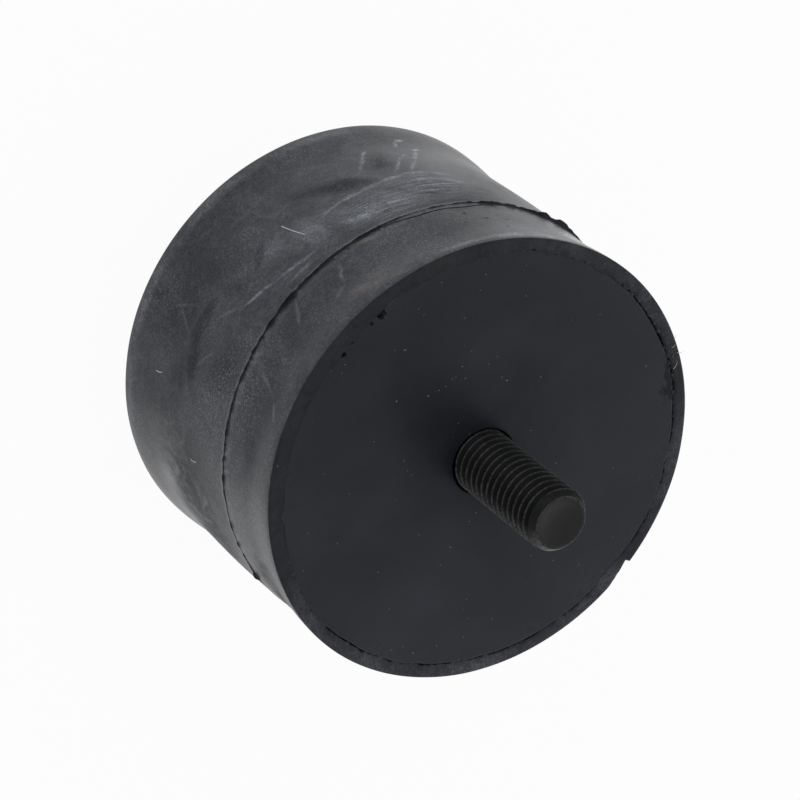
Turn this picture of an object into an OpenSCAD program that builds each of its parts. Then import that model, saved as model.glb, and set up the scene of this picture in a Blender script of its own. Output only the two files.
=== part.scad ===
// Rubber engine mount: a moulded rubber cylinder bonded to a steel plate at each end,
// with a threaded stud standing out of each plate.
// Z runs along the studs. The rear mounting face is at z = 0.

/* [Rubber body] */
// Outer diameter at the lip of each end
body_d = 70.5; // [60:0.5:90]
// Height between the two mounting faces
body_h = 47; // [36:0.5:70]
// Width of the rubber lip round each plate
lip_w = 2; // [1.6:0.1:4]
// Rounding of the lip's outer edge
lip_edge_r = 0.2; // [0.1:0.1:0.8]
// How far the side dips below the lip's radius near each end
waist_cut = 0.55; // [0.2:0.05:1.2]
// Distance from each mounting face to the bottom of that dip
waist_from_face = 8; // [5:0.5:12]
// How far the side lies below the lip's radius at mid height
belly_cut = 0.22; // [0.1:0.02:1]

/* [Parting line] */
// Distance of the parting line from the front mounting face
flash_from_front = 15.1; // [12:0.1:20]
// Thickness of the flash
flash_t = 0.4; // [0.2:0.05:0.8]
// Least height of the flash above the side
flash_min_h = 0.3; // [0.1:0.05:0.5]
// Further height that the ragged edge reaches
flash_ragged_h = 0.4; // [0.1:0.05:0.8]
// Extra height of the torn tongue of flash
tongue_h = 0.5; // [0.2:0.05:1.5]
// Place of the tongue round the side, in degrees
tongue_at = 7; // [0:1:359]
// Width of the tongue round the side, in degrees
tongue_sweep = 13; // [6:1:30]

/* [Torn lip] */
// Place of the steep end of the tear in the front lip, in degrees
tear_at = 274; // [0:1:359]
// Length of the tear round the lip, in degrees
tear_sweep = 9; // [6:1:30]
// Radial depth of the tear at its steep end
tear_cut = 0.85; // [0.4:0.05:1.5]
// Depth of the tear below the mounting face
tear_h = 2.2; // [1:0.1:5]

/* [Plates] */
// Thickness of each plate
plate_t = 3; // [2:0.5:5]
// Radial gap between a stud's thread and its hole in the plate
stud_hole_gap = 0.35; // [0.3:0.05:1]

/* [Studs] */
// Thread diameter of each stud
stud_d = 10; // [8:1:12]
// Length of each stud beyond its mounting face
stud_len = 22; // [12:0.5:40]
// Chamfer at the stud's tip
tip_chamfer = 0.95; // [0.5:0.05:1.2]
// Width of the flat rim round the dished tip
dish_rim = 0.4; // [0.2:0.1:0.8]
// Depth of the dish in the tip
dish_depth = 0.5; // [0.2:0.1:0.9]
// Depth of the undercut where the thread ends, in the plate
neck_cut = 1; // [0.6:0.1:1.4]
// Diameter of the head behind the plate
head_d = 20; // [16:1:28]
// Thickness of the head behind the plate
head_t = 4; // [2:0.5:6]

/* [Hidden] */
$fn = 96;

lip_r = body_d / 2;
plate_d = body_d - 2 * lip_w;
stud_hole_d = stud_d + 2 * stud_hole_gap;
neck_d = stud_d - 2 * neck_cut;
tip_r = stud_d / 2 - tip_chamfer;
dish_r = tip_r - dish_rim;
dish_ball_r = (dish_r * dish_r + dish_depth * dish_depth) / (2 * dish_depth);
flash_z = body_h - flash_from_front;
// Points along each half of the side's curve, and along the rounded lip edge
side_steps = 10;
edge_steps = 4;
// Points round the flash and along the tear
flash_steps = 240;
tear_steps = 6;
// Overshoot of a cut past the face that it opens
over = 1;

// Smooth step from 0 to 1, level at both ends
function ease(s) = (1 - cos(180 * s)) / 2;

// Radius of the side at a distance t from the nearer mounting face
function side_r(t) =
    t < waist_from_face
        ? lip_r - waist_cut * ease(t / waist_from_face)
        : lip_r - waist_cut + (waist_cut - belly_cut)
            * ease((t - waist_from_face) / (body_h / 2 - waist_from_face));

// Height from 0 to 1 of the ragged edge at an angle round the side
function ragged(a) = 0.5 + 0.2 * sin(7 * a + 222) + 0.17 * sin(19 * a + 294) + 0.13 * sin(43 * a + 78);

// Signed angle from one direction to another, between -180 and 180
function turn(a, to) = (a - to + 540) % 360 - 180;

// Height from 0 to 1 of the torn tongue at an angle round the side
function tongue(a) =
    abs(turn(a, tongue_at)) < tongue_sweep / 2
        ? ease(1 - abs(turn(a, tongue_at)) / (tongue_sweep / 2))
        : 0;

// Radius of the flash at an angle round the side
function flash_r(a) =
    side_r(min(flash_z, body_h - flash_z)) + flash_min_h + flash_ragged_h * ragged(a) + tongue_h * tongue(a);

function on_circle(r, a) = [r * cos(a), r * sin(a)];

// One end's half of the side as [radius, distance from the face], from the face to mid height
function side_half() = [
    for (i = [0 : edge_steps])
        [lip_r - lip_edge_r * (1 - sin(90 * i / edge_steps)), lip_edge_r * (1 - cos(90 * i / edge_steps))],
    for (i = [1 : side_steps])
        let (t = lip_edge_r + (waist_from_face - lip_edge_r) * i / side_steps) [side_r(t), t],
    for (i = [1 : side_steps])
        let (t = waist_from_face + (body_h / 2 - waist_from_face) * i / side_steps) [side_r(t), t]
];

// Rubber cylinder with lips, waisted side and no inserts
module moulded_side() {
    half = side_half();
    last = len(half) - 1;
    rotate_extrude()
        polygon([
            [0, 0],
            for (i = [0 : last]) half[i],
            for (i = [1 : last]) [half[last - i][0], body_h - half[last - i][1]],
            [0, body_h]
        ]);
}

// Ragged sheet of rubber squeezed out where the mould halves met
module parting_flash() {
    translate([0, 0, flash_z - flash_t / 2])
        linear_extrude(flash_t)
            polygon([for (i = [0 : flash_steps - 1]) on_circle(flash_r(360 * i / flash_steps), 360 * i / flash_steps)]);
}

// Space left where a piece of the front lip has torn away
module lip_tear() {
    translate([0, 0, body_h - tear_h])
        linear_extrude(tear_h + over)
            polygon([
                for (i = [0 : tear_steps])
                    on_circle(lip_r - tear_cut * i / tear_steps, tear_at - tear_sweep * (1 - i / tear_steps)),
                on_circle(lip_r + over, tear_at),
                on_circle(lip_r + over, tear_at - tear_sweep)
            ]);
}

// Space for one plate and the stud's head behind it, opening at z = 0
module insert_pocket() {
    translate([0, 0, -over])
        cylinder(d = plate_d, h = plate_t + over);
    cylinder(d = head_d, h = plate_t + head_t);
}

// Turns a piece of the rear end over to the front end
module at_front() {
    translate([0, 0, body_h])
        rotate([180, 0, 0])
            children();
}

module end_plate() {
    difference() {
        cylinder(d = plate_d, h = plate_t);
        translate([0, 0, -over])
            cylinder(d = stud_hole_d, h = plate_t + 2 * over);
    }
}

// Stud with its head behind the plate, its neck in the plate and its thread below z = 0
module welded_stud() {
    translate([0, 0, plate_t])
        cylinder(d = head_d, h = head_t);
    cylinder(d = neck_d, h = plate_t);
    difference() {
        translate([0, 0, -stud_len])
            union() {
                translate([0, 0, tip_chamfer])
                    cylinder(d = stud_d, h = stud_len - tip_chamfer);
                cylinder(r1 = tip_r, r2 = stud_d / 2, h = tip_chamfer);
            }
        translate([0, 0, -stud_len + dish_depth - dish_ball_r])
            sphere(r = dish_ball_r);
    }
}

module rubber_body() {
    color([0.24, 0.245, 0.255])
        difference() {
            union() {
                moulded_side();
                parting_flash();
            }
            insert_pocket();
            at_front() insert_pocket();
            lip_tear();
        }
}

module front_plate() {
    color([0.17, 0.175, 0.19])
        at_front() end_plate();
}

module front_stud() {
    color([0.13, 0.13, 0.14])
        at_front() welded_stud();
}

module rear_plate() {
    color([0.17, 0.175, 0.19])
        end_plate();
}

module rear_stud() {
    color([0.13, 0.13, 0.14])
        welded_stud();
}

rubber_body();
front_plate();
front_stud();
rear_plate();
rear_stud();
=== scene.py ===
import functools
import math

import bmesh
import bpy
from mathutils import Matrix, Vector, noise


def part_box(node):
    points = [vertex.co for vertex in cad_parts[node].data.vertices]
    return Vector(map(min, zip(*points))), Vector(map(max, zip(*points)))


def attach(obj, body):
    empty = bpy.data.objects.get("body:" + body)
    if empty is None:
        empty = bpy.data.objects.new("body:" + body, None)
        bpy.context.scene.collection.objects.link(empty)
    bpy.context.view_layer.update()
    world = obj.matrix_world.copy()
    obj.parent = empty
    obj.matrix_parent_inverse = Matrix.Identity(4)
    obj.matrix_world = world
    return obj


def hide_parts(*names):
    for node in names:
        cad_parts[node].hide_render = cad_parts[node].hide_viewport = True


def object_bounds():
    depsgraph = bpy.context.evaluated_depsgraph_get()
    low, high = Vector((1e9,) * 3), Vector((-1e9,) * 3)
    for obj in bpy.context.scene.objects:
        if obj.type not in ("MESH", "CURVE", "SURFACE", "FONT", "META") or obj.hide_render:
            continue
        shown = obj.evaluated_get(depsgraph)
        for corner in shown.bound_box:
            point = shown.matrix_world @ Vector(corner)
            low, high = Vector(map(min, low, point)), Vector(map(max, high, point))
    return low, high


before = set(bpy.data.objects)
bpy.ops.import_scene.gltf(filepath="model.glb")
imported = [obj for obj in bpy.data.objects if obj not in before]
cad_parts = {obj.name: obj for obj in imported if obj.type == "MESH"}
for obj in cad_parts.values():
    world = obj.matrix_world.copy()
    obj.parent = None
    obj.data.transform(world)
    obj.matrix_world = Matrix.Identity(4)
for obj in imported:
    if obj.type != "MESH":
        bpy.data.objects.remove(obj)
cadLow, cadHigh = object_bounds()
mm = 0.001
fused = 0.0001 * mm  # points nearer than this are one point
near = 0.01 * mm  # what lies this close to a surface is on it
slight = 0.01  # shares below this count as none

# sizes that the solids already have
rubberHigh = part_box("rubber_body")[1]
plateLow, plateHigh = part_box("front_plate")
studLow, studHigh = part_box("front_stud")
bodyHeight = rubberHigh.z
plateRadius = plateHigh.x
lipRadius = plateRadius + 2 * mm
plateThick = plateHigh.z - plateLow.z
headRadius = studHigh.x
headThick = plateLow.z - studLow.z
studLength = studHigh.z - bodyHeight
print("frame loaded, body height in mm:", round(bodyHeight / mm, 2))


# small helpers

def srgb(code):
    channels = [int(code[i:i + 2], 16) / 255 for i in (1, 3, 5)]
    linear = [c / 12.92 if c <= 0.04045 else ((c + 0.055) / 1.055) ** 2.4 for c in channels]
    return (*linear, 1.0)


times = {"operation": "MULTIPLY"}  # settings of nodes that come often
plus = {"operation": "ADD"}
rangeEnds = ("From Min", "From Max", "To Min", "To Max")
newEnds = rangeEnds[2:]


def addNode(tree, kind, settings=None, links=()):  # links by name, or in the order of the inputs
    node = tree.nodes.new("ShaderNode" + kind)
    for name, value in (settings or {}).items():
        if isinstance(name, str) and hasattr(node, name):
            setattr(node, name, value)
        else:
            node.inputs[name].default_value = value
    for name, source in links.items() if isinstance(links, dict) else enumerate(links):
        tree.links.new(source if isinstance(source, bpy.types.NodeSocket) else source.outputs[0], node.inputs[name])
    return node


def emptyNodes(owner):  # clears the nodes of a material or world, and gives what adds new ones
    owner.use_nodes = True
    owner.node_tree.nodes.clear()
    return functools.partial(addNode, owner.node_tree)


def newMaterial(name, look):  # with the noise that the look lists and the shares taken from it
    material = bpy.data.materials.new(name)
    add = emptyNodes(material)
    place = add("TexCoord").outputs["Object"]
    field = {}
    for wave, (length, detail, rough, warp) in look["waves"].items():
        settings = {"Scale": 1 / length, "Detail": detail, "Roughness": rough, "Distortion": warp}
        field[wave] = add("TexNoise", settings, {"Vector": place})
    for share, (wave, *ends) in look["shares"].items():
        field[share] = add("MapRange", dict(zip(rangeEnds, ends)), {"Value": field[wave]})
    return material, add, place, field


def clamp(value, low=0.0, high=1.0):
    return min(max(value, low), high)


def onCircle(radius, angle, height=0.0):
    return Vector((radius * math.cos(angle), radius * math.sin(angle), height))


def ringNoise(angle, span, seed):  # smooth noise round the rim, span is the length of one wave
    return noise.noise(onCircle(lipRadius / span, angle, seed))


def ringWaves(angle, rows):  # noise round the rim added up: strength, length of one wave in mm and seed of each
    return sum(strength * ringNoise(angle, span * mm, seed) for strength, span, seed in rows)


def turnFrom(angle, degrees):  # signed difference in degrees, between -180 and 180
    return (math.degrees(angle) - degrees + 540) % 360 - 180


def hump(away, half):  # 1 at the middle, 0 from half outwards
    share = max(0.0, 1 - (away / half) ** 2)
    return share * share * (3 - 2 * share)


def ringHumps(angle, rows):  # humps round the rim added up: angle, height and half width of each, in degrees
    return sum(height * hump(turnFrom(angle, at), half) for at, height, half in rows)


def ease(share):
    return (1 - math.cos(math.pi * share)) / 2


def onSide(degrees, depth, lift=0.0):  # a point on the side, depth is measured from the front face
    return onCircle(sideRadius(bodyHeight - depth) + lift, math.radians(degrees), bodyHeight - depth)


def quarterRound(size, steps):  # how far a rounded edge lies inside its two faces, step by step
    turns = [math.pi / 2 * i / steps for i in range(steps + 1)]
    return [(size * (1 - math.sin(turn)), size * (1 - math.cos(turn))) for turn in turns]


def onlyVerts(geometry):
    return [item for item in geometry if isinstance(item, bmesh.types.BMVert)]


def addObject(name, data):
    made = bpy.data.objects.new(name, data)
    bpy.context.scene.collection.objects.link(made)
    return made


def allOf(shape):
    return shape.verts[:] + shape.edges[:] + shape.faces[:]


def spinPoints(points, angle, steps, rise=0.0, closed=False):
    shape = bmesh.new()
    verts = [shape.verts.new((radius, 0, height)) for radius, height in points]
    pairs = list(zip(verts, verts[1:])) + ([(verts[-1], verts[0])] if closed else [])
    edges = [shape.edges.new(pair) for pair in pairs]
    bmesh.ops.spin(shape, geom=verts + edges, cent=(0, 0, 0), axis=(0, 0, 1), angle=angle,
                   dvec=(0, 0, rise / steps), steps=steps)
    return shape, allOf(shape)


def spinProfile(points, steps, closed=False, sectors=12):  # one sector is spun, then repeated round the axis
    shape, sector = spinPoints(points, 2 * math.pi / sectors, steps // sectors, closed=closed)
    for i in range(1, sectors):
        copied = bmesh.ops.duplicate(shape, geom=sector)["geom"]
        bmesh.ops.rotate(shape, verts=onlyVerts(copied), cent=(0, 0, 0),
                         matrix=Matrix.Rotation(2 * math.pi * i / sectors, 3, "Z"))
    bmesh.ops.remove_doubles(shape, verts=shape.verts, dist=fused)
    bmesh.ops.recalc_face_normals(shape, faces=shape.faces)
    return shape


def addPiece(shape, name, material, replaced=None, sharpAngle=40):
    mesh = bpy.data.meshes.new(name)
    shape.to_mesh(mesh)
    shape.free()
    mesh.shade_smooth()
    mesh.set_sharp_from_angle(angle=math.radians(sharpAngle))
    mesh.materials.append(material)
    piece = addObject(name, mesh)
    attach(piece, "root")
    if replaced:
        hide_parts(replaced)
    print("made", name, len(mesh.polygons), "faces")


# camera: close to the photograph, which shows the mount lying on its side

photoCamera = {
    "place": (-0.5 * mm, 414.9 * mm, 543.7 * mm),
    "right": (0.6298, -0.6075, 0.4840),  # the image's right and down in the mount's frame
    "down": (-0.7768, -0.4926, 0.3925),
    "lens": 198.68, "sensor": 36,
}


def addCamera(spec):
    right = Vector(spec["right"]).normalized()
    down = Vector(spec["down"]).normalized()
    forward = right.cross(down)
    data = bpy.data.cameras.new("photoCamera")
    data.lens = spec["lens"]
    data.sensor_width = spec["sensor"]
    camera = addObject("photoCamera", data)
    turn = Matrix((right, -down, -forward)).transposed().to_4x4()
    camera.matrix_world = Matrix.Translation(spec["place"]) @ turn
    bpy.context.scene.camera = camera


# studio: pale floor under the rear stud, white walls, a dim ceiling and one soft lamp

studio = {
    "white": "#ffffff", "floorRadius": 4.0, "floorSegments": 96, "floorColor": "#f4f4f4",
    "floorGlow": 0.95,  # share of plain white that the eye and reflections see in the floor
    "wallLight": 1.0, "ceilingLight": 0.42,
    "wallTop": 0.3,  # sine of the height where the wall starts to dim, and of where the ceiling begins
    "ceilingFrom": 0.8,
    "keyFrom": (0.35, 0.62, 0.70),
    "keyDistance": 0.9, "keySize": 0.7, "keyWatts": 1.6,
}


def seenDirectly(add):  # 1 for the eye and for reflections, 0 for the light on the object
    path = add("LightPath")
    seen = path.outputs["Is Camera Ray"]
    for name in ("Is Glossy Ray", "Is Transmission Ray"):
        seen = add("Math", {"operation": "MAXIMUM"}, (seen, path.outputs[name]))
    return seen


def addStudio(spec):
    floorShape = bmesh.new()
    bmesh.ops.create_circle(floorShape, cap_ends=True, segments=spec["floorSegments"], radius=spec["floorRadius"])
    bmesh.ops.translate(floorShape, verts=floorShape.verts, vec=(0, 0, cadLow.z))
    floorMesh = bpy.data.meshes.new("studioFloor")
    floorShape.to_mesh(floorMesh)
    floorShape.free()
    floor = addObject("studioFloor", floorMesh)

    # matte white paper: even and without gloss
    paper = bpy.data.materials.new("whitePaperSweep")
    add = emptyNodes(paper)
    matte = add("BsdfDiffuse", {"Color": srgb(spec["floorColor"])})
    glow = add("Emission", {"Color": srgb(spec["white"])})
    share = add("Math", {**times, 1: spec["floorGlow"]}, [seenDirectly(add)])
    mixed = add("MixShader", None, (share, matte, glow))
    add("OutputMaterial", None, {"Surface": mixed})
    floorMesh.materials.append(paper)

    world = bpy.data.worlds.new("whiteStudio")
    bpy.context.scene.world = world
    add = emptyNodes(world)
    rise = add("SeparateXYZ", None, [add("TexCoord").outputs["Generated"]]).outputs["Z"]
    ends = (spec["wallTop"], spec["ceilingFrom"], spec["wallLight"], spec["ceilingLight"])
    strength = add("MapRange", {"interpolation_type": "SMOOTHSTEP", **dict(zip(rangeEnds, ends))}, {"Value": rise})
    light = add("Background", {"Color": srgb(spec["white"])}, {"Strength": strength})
    add("OutputWorld", None, {"Surface": light})

    lamp = bpy.data.lights.new("softKey", "AREA")
    lamp.shape = "DISK"
    lamp.size = spec["keySize"]
    lamp.energy = spec["keyWatts"]
    key = addObject("softKey", lamp)
    aim = Vector(spec["keyFrom"]).normalized()
    key.location = Vector((0, 0, bodyHeight / 2)) + aim * spec["keyDistance"]
    key.rotation_mode = "QUATERNION"
    key.rotation_quaternion = (-aim).to_track_quat("-Z", "Y")


# materials

rubberLook = {
    "black": "#16181c", "bloom": "#b9bec9", "clay": "#574f48", "tint": "#eceffd",
    "roughness": (0.31, 0.61),  # where it is plain and where it is scuffed
    "dullRoughness": 0.2,  # added in the smudges and in the painted shade
    "polish": 0.14,  # roughness taken off in the polished patches
    "specular": (0.3, 0.105),  # where it is clean and in the smudges and painted shade
    "tornSpecular": 0.4, "grimeSpecular": 0.05,
    "grainBump": 0.03 * mm, "swellBump": 0.06 * mm,
    "pinholes": {"spacing": 1.0 * mm, "radius": 0.17 * mm, "share": 0.3},
    "pinholeDark": 0.75,
    "wobble": 1.0 * mm,  # unevenness of the strokes
    "lipDepth": 0.06 * mm,  # the lips' flat faces, this deep at most, have no bloom and more gloss
    # hairlines wiped round the side: their length both ways across and their spacing, how far they wander, their noise
    "wipe": (6 * mm, 6 * mm, 0.32 * mm),
    "wipeWander": 2.4 * mm,
    "wipeNoise": {"Scale": 1.0, "Detail": 3.0, "Roughness": 0.65},
    "wipeRange": (0.42, 0.68),
    # noise: length of one wave, detail, roughness, distortion
    "waves": {
        "cloud": (12 * mm, 5, 0.6, 0.6), "smear": (3.5 * mm, 4, 0.6, 1.6), "grain": (0.3 * mm, 3, 0.6, 0),
        "specks": (0.32 * mm, 2, 0.7, 0), "swell": (4 * mm, 3, 0.5, 0), "wobble": (1.6 * mm, 3, 0.5, 0),
        "drift": (16 * mm, 1, 0.5, 0),
    },
    # shares taken from the noise: its name, the range that counts, and what the ends of that range become
    "shares": {
        "chalk": ("grain", 0.35, 0.65, 0.3, 1.5), "feathered": ("smear", 0.35, 0.6, 0.5, 1.2),
        "uneven": ("smear", 0.3, 0.6, 0.3, 1.2), "haze": ("cloud", 0.35, 0.7, 0, 0.035),
        "streaks": ("smear", 0.45, 0.72, 0, 0.05), "dots": ("specks", 0.52, 0.72, 0, 0.14),
        "patches": ("cloud", 0.45, 0.62, 0.15, 1), "mottle": ("specks", 0.3, 0.7, 0.6, 1.4),
        "lipSkin": ("smear", 0.3, 0.65, 0.348, 0.522),
    },
    # chalky strokes and painted highlights along the rim edges: angle and depth of each end in degrees and mm, half
    # width in mm, strength
    "strokes": [
        (28, 19.5, 68, 21, 6.5, 0.08), (44, 20, 60, 22, 3.5, 0.05), (20, 34, 40, 36, 5, 0.06),
        (28, 26.2, 36, 27.6, 0.8, 0.32), (34, 27.5, 43, 27.7, 0.75, 0.36), (41, 27.7, 51, 26.6, 0.75, 0.34),
        (49, 26.7, 57, 25.8, 0.65, 0.28), (55, 25.9, 64, 25.7, 0.6, 0.24), (61, 25.8, 69, 24.6, 0.5, 0.2),
        (37.4, 19.6, 45.8, 22, 0.6, 0.14), (34, 20.8, 42, 22.8, 0.75, 0.14), (28, 22.8, 35, 24.6, 1, 0.22),
        (55, 18.6, 67, 20.4, 1.3, 0.22), (51, 19.6, 60, 20, 0.9, 0.12), (40, 28, 33.6, 33.6, 0.45, 0.42),
        (34.4, 32.8, 29.4, 38, 0.5, 0.5), (31, 37.4, 27, 38.4, 0.55, 0.8), (45, 27.6, 35.4, 35.8, 0.4, 0.36),
        (37, 34, 33.8, 36.4, 0.45, 0.35), (34.8, 38.4, 32, 41.6, 0.45, 0.55), (33, 41.2, 29.2, 41.9, 0.55, 0.8),
        (51.6, 31, 43, 38.9, 0.42, 0.28), (45.6, 36.6, 43.4, 38.6, 0.4, 0.28), (74, 18.3, 88, 20.2, 0.5, 0.24),
        (87, 20.1, 98.8, 22.9, 0.5, 0.32), (74, 17, 87, 17.6, 0.7, 0.14), (60, 20, 86, 27, 5, 0.14),
        (97, 22.6, 104, 27, 0.4, 0.12), (78, 8.3, 74, 13.6, 0.45, 0.13), (94, 7.5, 87, 14.6, 0.45, 0.12),
        (84, 6, 76, 9, 0.6, 0.08), (115, 2.7, 110, 5.4, 0.45, 0.15), (110, 5.3, 106, 12, 0.5, 0.12),
        (110, 23.4, 117, 27.6, 0.35, 0.14), (112, 31, 106, 38, 0.4, 0.1), (104, 33, 109, 40, 0.4, 0.1),
        (64, 1.2, 82, 7, 2.4, 0.05), (17, 1.2, 32, 1.4, 1.1, 0.6), (28, 1.4, 44, 1.7, 1.3, 0.5),
        # the last stroke on this line and those on the next: painted highlight along the rear rim edge
        (40, 1.3, 58, 1.6, 0.8, 0.24), (22, 2.4, 36, 3, 0.8, 0.24), (36, 45.4, 66, 45.6, 1.4, 0.14),
        (60, 45.4, 98, 45.6, 1.4, 0.14), (92, 45.4, 126, 45.6, 1.3, 0.12), (120, 45.4, 150, 45.6, 1.3, 0.1),
        # from the third stroke on this line to the end: painted highlight along the front rim edge
        (63, 13.4, 69, 14.2, 0.5, 0.2), (102, 12.6, 105, 14.4, 0.6, 0.15), (154, 0, 186, 0, 1.5, 0.08),
        (178, 0, 212, 0, 1.6, 0.1), (204, 0, 246, 0, 1.6, 0.12), (238, 0, 276, 0, 1.4, 0.08),
        (262, 1, 275, 1, 1.4, 0.14), (278, 0, 326, 0, 1.4, 0.08), (326, 0, 378, 0, 1.4, 0.06),
        (2, 0, 42, 0, 1.4, 0.04),
    ],
    # patches of wiped hairlines
    "swept": [
        (22, 21.5, 48, 22, 5.5, 0.38), (40, 20.5, 68, 20, 5, 0.4), (26, 24, 52, 25.5, 3.2, 0.34),
        (66, 17.5, 92, 19.5, 3, 0.12), (18, 34, 44, 37, 6, 0.08), (20, 5, 50, 7, 5, 0.08),
    ],
    # patches of light speckle
    "speckled": [
        (92, 10, 136, 14, 6, 1.5), (94, 18, 134, 20, 3.6, 1.4), (108, 21, 140, 25, 3.4, 0.9),
        (30, 8, 60, 11, 4, 0.5),
    ],
    # patches with more sheen
    "polished": [(2, 5, 20, 6.5, 8, 1.5), (148, 34, 160, 40, 4, 0.8)],
    # dull smudges and painted shade, written the same way
    "smudgesAndShade": [
        (49, 26.8, 66, 32.6, 3, 2), (62, 30.6, 72, 35, 2.2, 0.6), (60, 31, 76, 38, 4.5, 0.3),
        (89.2, 24.8, 82.4, 29.4, 1, 1.8), (91, 22.5, 98, 30, 2.2, 0.9), (98, 29.4, 114, 30.2, 2, 1.6),
        (106, 40.6, 109, 45.2, 1.2, 1.2), (48, 29, 40, 38, 2.6, 0.7), (108, 29.6, 122, 27.2, 1.7, 1.2),
        (116, 30.5, 136, 34.5, 3.6, 0.3), (100, 32, 120, 40, 5, 0.5), (30, 16, 60, 16.4, 1.2, 0.6),
        (118, 6, 134, 9, 3, 0.4), (38, 18.6, 46, 20.6, 0.45, 1), (36, 22.4, 46, 25, 0.5, 0.9),
        (46, 22, 52, 25, 0.8, 0.7), (36, 20, 44, 21.6, 0.35, 0.8), (44, 19.2, 52, 21.4, 0.4, 0.7),
        # painted shade: wide dull patches that darken the side from about 90° to 186°
        (90, 22, 124, 34, 12, 0.4), (108, 24, 140, 38, 14, 0.7), (132, 20, 166, 36, 16, 1.1),
        (150, 24, 186, 30, 14, 1), (138, 6, 176, 8, 8, 0.45), (154, 4, 182, 11, 8, 0.9), (92, 36, 124, 42, 8, 0.7),
        (36, 5, 66, 9, 7, 0.8), (60, 4, 126, 10, 8, 0.5), (102, 4, 140, 10, 9, 0.55), (98, 2, 118, 6, 5, 0.4),
        (104, 17, 120, 22, 4, 1), (106, 26, 124, 32, 4, 0.4), (122, 34, 140, 44, 6, 0.5), (80, 30, 110, 40, 8, 0.8),
        (80, 27, 97, 34, 5, 0.5), (20, 17, 54, 22, 7, 0.9), (4, 24, 30, 30, 12, 0.45), (34, 30, 54, 34, 6, 0.35),
        (39.8, 11.2, 41, 11.9, 0.35, 4), (35.7, 9, 36.7, 9.5, 0.3, 3.5), (30.5, 8.6, 31.4, 9, 0.3, 3),
        (42.6, 8.4, 43.2, 8.8, 0.25, 3), (33.2, 5.6, 33.9, 6, 0.25, 3),
    ],
    # brown clay dust
    "dusty": [
        (64, 1.4, 84, 5.4, 2, 0.3), (66, 3.6, 74, 6.6, 1.2, 0.3), (74, 2.6, 79, 6.8, 1.2, 0.5),
        (64, 0.8, 70, 2.4, 0.9, 0.5), (92, 0.6, 98, 3, 1.6, 0.2), (62, 13.2, 71, 14.8, 0.7, 0.7),
        (101, 12.8, 105.5, 15, 0.8, 0.7), (118, 0.8, 150, 1, 1.2, 0.12), (324, 0, 338, 0, 1.2, 0.14),
        (50, 0, 64, 0, 1.4, 0.1), (36, 0, 44, 0, 1.2, 0.1), (84, 0, 95, 0, 1.4, 0.1),
    ],
    "strokeReach": 6 * mm,  # how deep below the side, and above it, a stroke reaches
}


def strokeSum(add, vector, strokes):  # soft ellipses laid on the side, added up
    total = None
    for startTurn, startDepth, endTurn, endDepth, halfWidth, strength in strokes:
        midTurn, midDepth = (startTurn + endTurn) / 2, (startDepth + endDepth) / 2
        around = lipRadius * math.radians(endTurn - startTurn)
        along = -(endDepth - startDepth) * mm
        half = math.hypot(around, along) / 2
        settings = {"vector_type": "TEXTURE", "Location": onSide(midTurn, midDepth * mm),
                    "Rotation": (math.atan2(along, around), 0, math.radians(midTurn)),
                    "Scale": (rubberLook["strokeReach"], half, halfWidth * mm)}
        local = add("Mapping", settings, {"Vector": vector})
        blob = add("TexGradient", {"gradient_type": "SPHERICAL"}, {"Vector": local})
        links = {0: blob.outputs["Fac"]}
        if total:
            links[2] = total
        total = add("Math", {"operation": "MULTIPLY_ADD", 1: strength, 2: 0.0}, links)
    return total


def scatteredDots(add, place, spacing, radius, share):  # 1 in dots strewn about, 0 between them
    cells = add("TexVoronoi", {"Scale": 1 / spacing}, {"Vector": place})
    number = add("SeparateColor", None, [cells.outputs["Color"]])
    chosen = add("Math", {"operation": "LESS_THAN", 1: share}, [number])
    inside = add("MapRange", {"From Min": radius / spacing, "From Max": 0.5 * radius / spacing},
                 {"Value": cells.outputs["Distance"]})
    return add("Math", times, (inside, chosen))


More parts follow.
